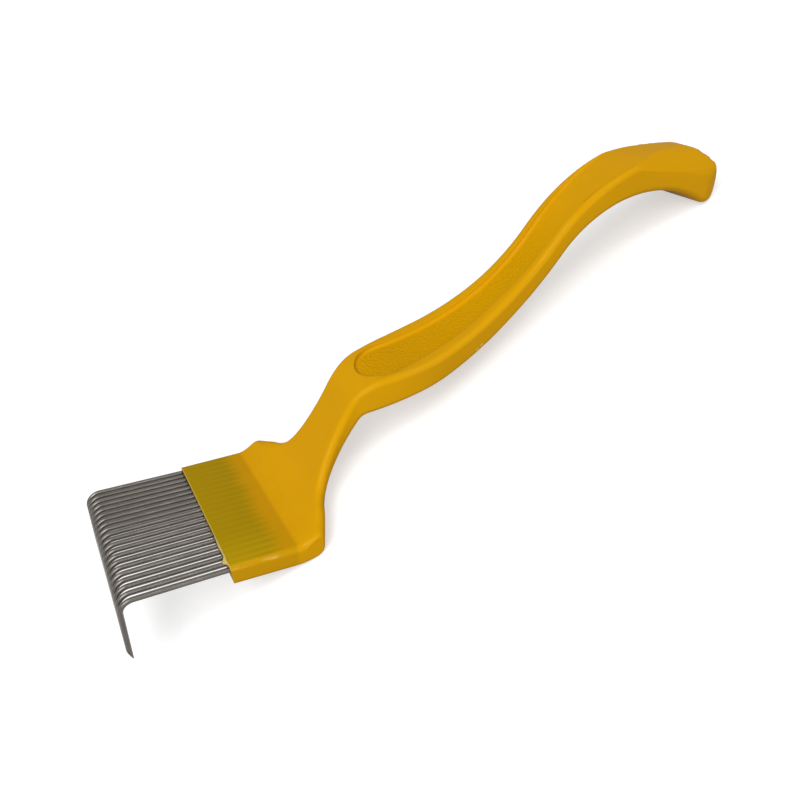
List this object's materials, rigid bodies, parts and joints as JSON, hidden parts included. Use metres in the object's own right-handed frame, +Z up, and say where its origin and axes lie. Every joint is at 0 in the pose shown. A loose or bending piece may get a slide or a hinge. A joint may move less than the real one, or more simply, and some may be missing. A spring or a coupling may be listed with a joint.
{
  "type": "uncapping fork",
  "caption": "Beekeeper's uncapping fork: a flat row of steel needles with ends bent down, moulded into a one-piece curved plastic handle with a thumb recess.",
  "frame": {"origin": "on the table that the fork rests on, in its middle plane, half way along its overall length", "axes": "+X from the needle end to the tail of the handle, +Y across the row of needles, +Z up from the table; the head and the needles slope up towards the needle end"},
  "size_m": [0.209, 0.0492, 0.0269],
  "materials": {
    "yellow_plastic": "glossy moulded plastic, a little translucent over the needle roots",
    "needle_steel": "drawn stainless wire, ground points"
  },
  "bodies": {
    "root": {"handle": "yellow_plastic", "needle_01": "needle_steel", "needle_02": "needle_steel", "needle_03": "needle_steel", "needle_04": "needle_steel", "needle_05": "needle_steel", "needle_06": "needle_steel", "needle_07": "needle_steel", "needle_08": "needle_steel", "needle_09": "needle_steel", "needle_10": "needle_steel", "needle_11": "needle_steel", "needle_12": "needle_steel", "needle_13": "needle_steel", "needle_14": "needle_steel", "needle_15": "needle_steel", "needle_16": "needle_steel", "needle_17": "needle_steel", "needle_18": "needle_steel", "needle_19": "needle_steel", "needle_20": "needle_steel", "needle_21": "needle_steel"}
  },
  "joints": []
}
